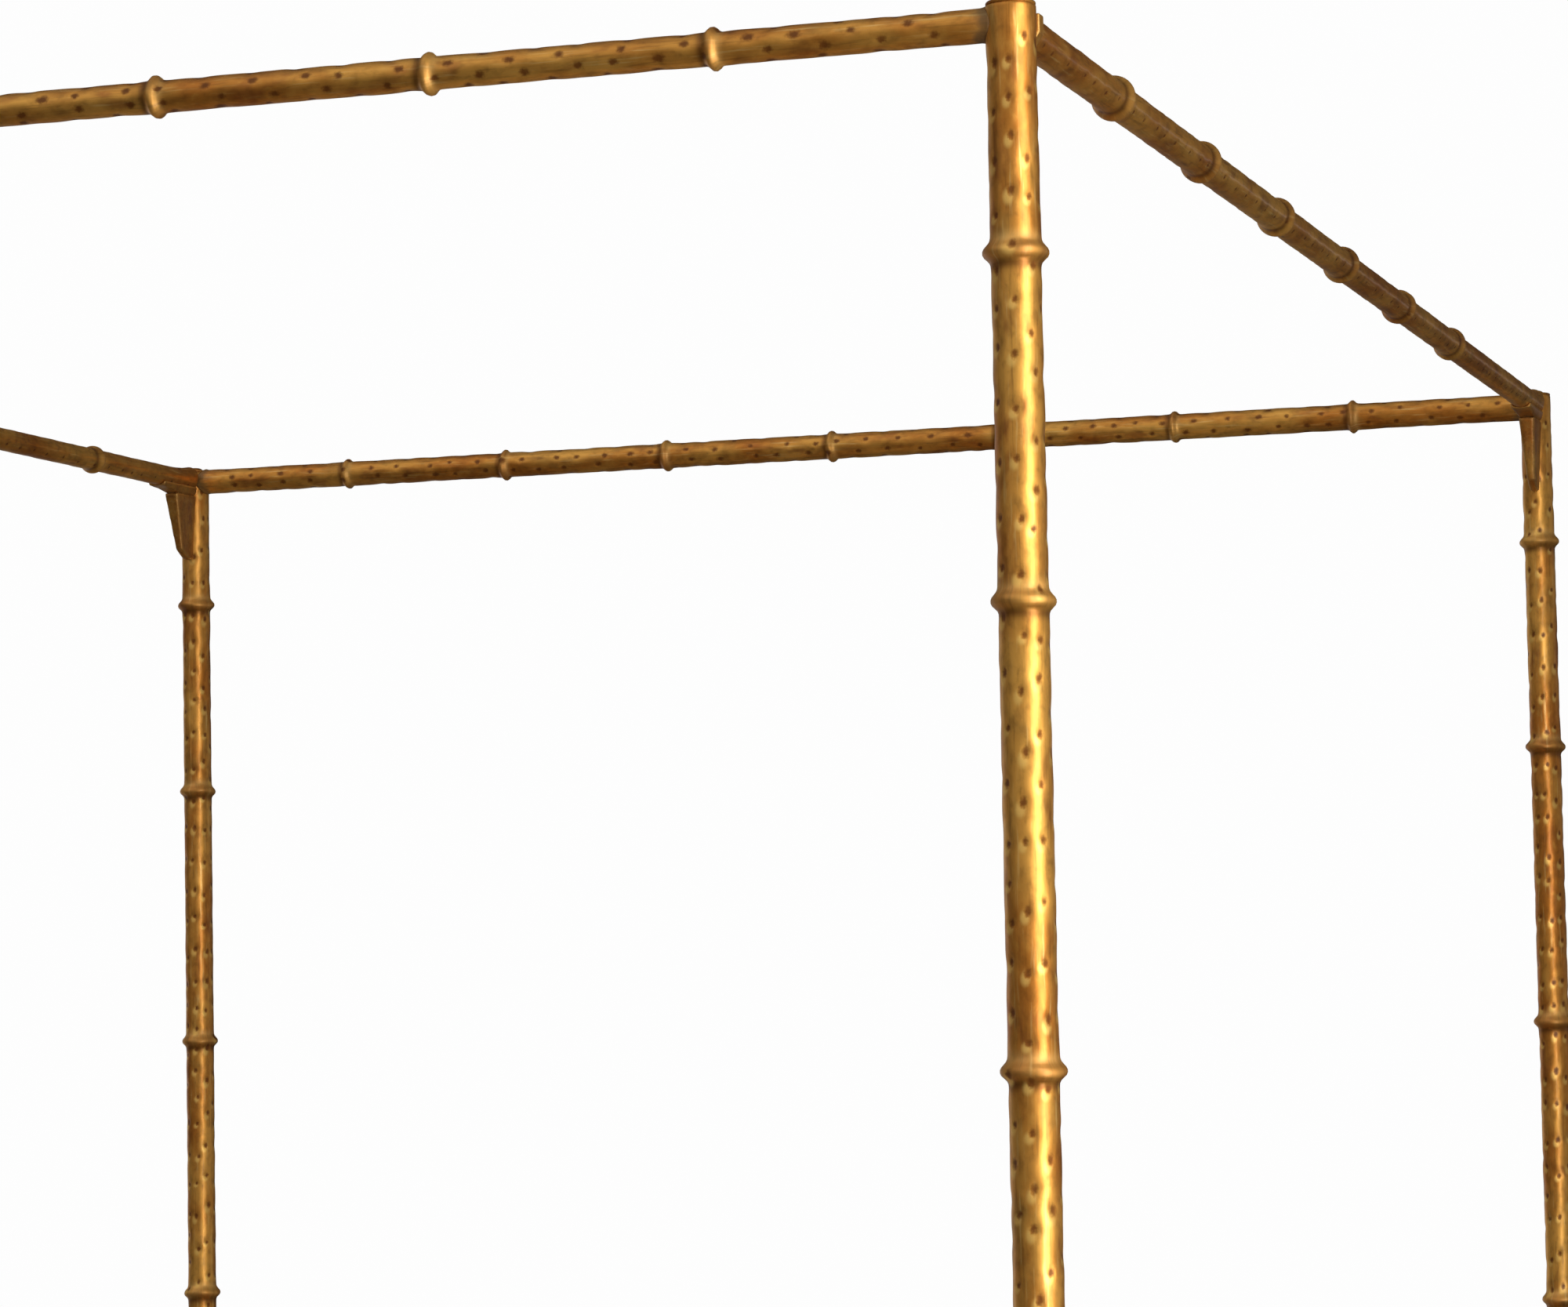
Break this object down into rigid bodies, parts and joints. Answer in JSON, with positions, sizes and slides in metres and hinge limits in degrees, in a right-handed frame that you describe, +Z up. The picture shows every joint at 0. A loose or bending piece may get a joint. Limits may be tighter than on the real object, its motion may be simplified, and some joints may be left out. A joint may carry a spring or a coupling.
{
  "type": "four poster canopy bed",
  "caption": "Queen size four poster canopy bed in gilt faux-bamboo steel tube, with lift-off canopy side rails, slatted base and levelling feet.",
  "frame": {"origin": "on the floor under the middle of the bed", "axes": "+Z up, +Y from the foot end to the head end, +X to the right seen from the foot end"},
  "size_m": [1.6938, 2.2438, 2.1522],
  "materials": {
    "gilt_tube": "antique gold leaf over steel tube, rubbed and mottled",
    "gilt_casting": "darker antique gold over cast metal",
    "black_steel": "satin black paint",
    "zinc_steel": "zinc plated",
    "black_plastic": "moulded",
    "pine": "plain planed pine"
  },
  "bodies": {
    "bed_frame": {"post_foot_right": "gilt_tube", "post_cap_foot_right": "gilt_tube", "foot_insert_foot_right": "black_steel", "rail_bracket_foot_right": "black_steel", "rail_bolt_foot_right": "zinc_steel", "post_head_right": "gilt_tube", "post_cap_head_right": "gilt_tube", "foot_insert_head_right": "black_steel", "rail_bracket_head_right": "black_steel", "rail_bolt_head_right": "zinc_steel", "post_head_left": "gilt_tube", "post_cap_head_left": "gilt_tube", "foot_insert_head_left": "black_steel", "rail_bracket_head_left": "black_steel", "rail_bolt_head_left": "zinc_steel", "post_foot_left": "gilt_tube", "post_cap_foot_left": "gilt_tube", "foot_insert_foot_left": "black_steel", "rail_bracket_foot_left": "black_steel", "rail_bolt_foot_left": "zinc_steel", "canopy_head_rail": "gilt_tube", "canopy_foot_rail": "gilt_tube", "headboard_top_rail": "gilt_tube", "headboard_bottom_rail": "gilt_tube", "headboard_spindle_1": "gilt_tube", "headboard_spindle_2": "gilt_tube", "headboard_spindle_3": "gilt_tube", "headboard_spindle_4": "gilt_tube", "footboard_top_rail": "gilt_tube", "footboard_bottom_rail": "gilt_tube", "footboard_spindle_1": "gilt_tube", "footboard_spindle_2": "gilt_tube", "footboard_spindle_3": "gilt_tube", "footboard_spindle_4": "gilt_tube", "hook_socket_right": "gilt_casting", "rail_cradle_right": "gilt_casting", "mattress_rail_right": "black_steel", "hook_socket_left": "gilt_casting", "rail_cradle_left": "gilt_casting", "mattress_rail_left": "black_steel", "slat_1": "pine", "slat_2": "pine", "slat_3": "pine", "slat_4": "pine", "slat_5": "pine", "slat_6": "pine", "slat_7": "pine", "centre_rail": "black_steel", "centre_leg_1": "black_steel", "centre_leg_glide_1": "black_plastic", "centre_leg_2": "black_steel", "centre_leg_glide_2": "black_plastic"},
    "canopy_side_right": {"canopy_side_rail_right": "gilt_tube", "canopy_hook_right": "gilt_casting"},
    "canopy_side_left": {"canopy_side_rail_left": "gilt_tube", "canopy_hook_left": "gilt_casting"},
    "foot_foot_right": {"levelling_foot_foot_right": "black_plastic"},
    "foot_head_right": {"levelling_foot_head_right": "black_plastic"},
    "foot_head_left": {"levelling_foot_head_left": "black_plastic"},
    "foot_foot_left": {"levelling_foot_foot_left": "black_plastic"}
  },
  "joints": [
    {"name": "lift_canopy_side_right", "type": "slide", "parent": "bed_frame", "child": "canopy_side_right", "axis": [0, 0, 1], "range_m": [0, 0.08]},
    {"name": "lift_canopy_side_left", "type": "slide", "parent": "bed_frame", "child": "canopy_side_left", "axis": [0, 0, 1], "range_m": [0, 0.08]},
    {"name": "level_foot_right", "type": "slide", "parent": "bed_frame", "child": "foot_foot_right", "axis": [0, 0, -1], "range_m": [0, 0.012]},
    {"name": "level_head_right", "type": "slide", "parent": "bed_frame", "child": "foot_head_right", "axis": [0, 0, -1], "range_m": [0, 0.012]},
    {"name": "level_head_left", "type": "slide", "parent": "bed_frame", "child": "foot_head_left", "axis": [0, 0, -1], "range_m": [0, 0.012]},
    {"name": "level_foot_left", "type": "slide", "parent": "bed_frame", "child": "foot_foot_left", "axis": [0, 0, -1], "range_m": [0, 0.012]}
  ]
}
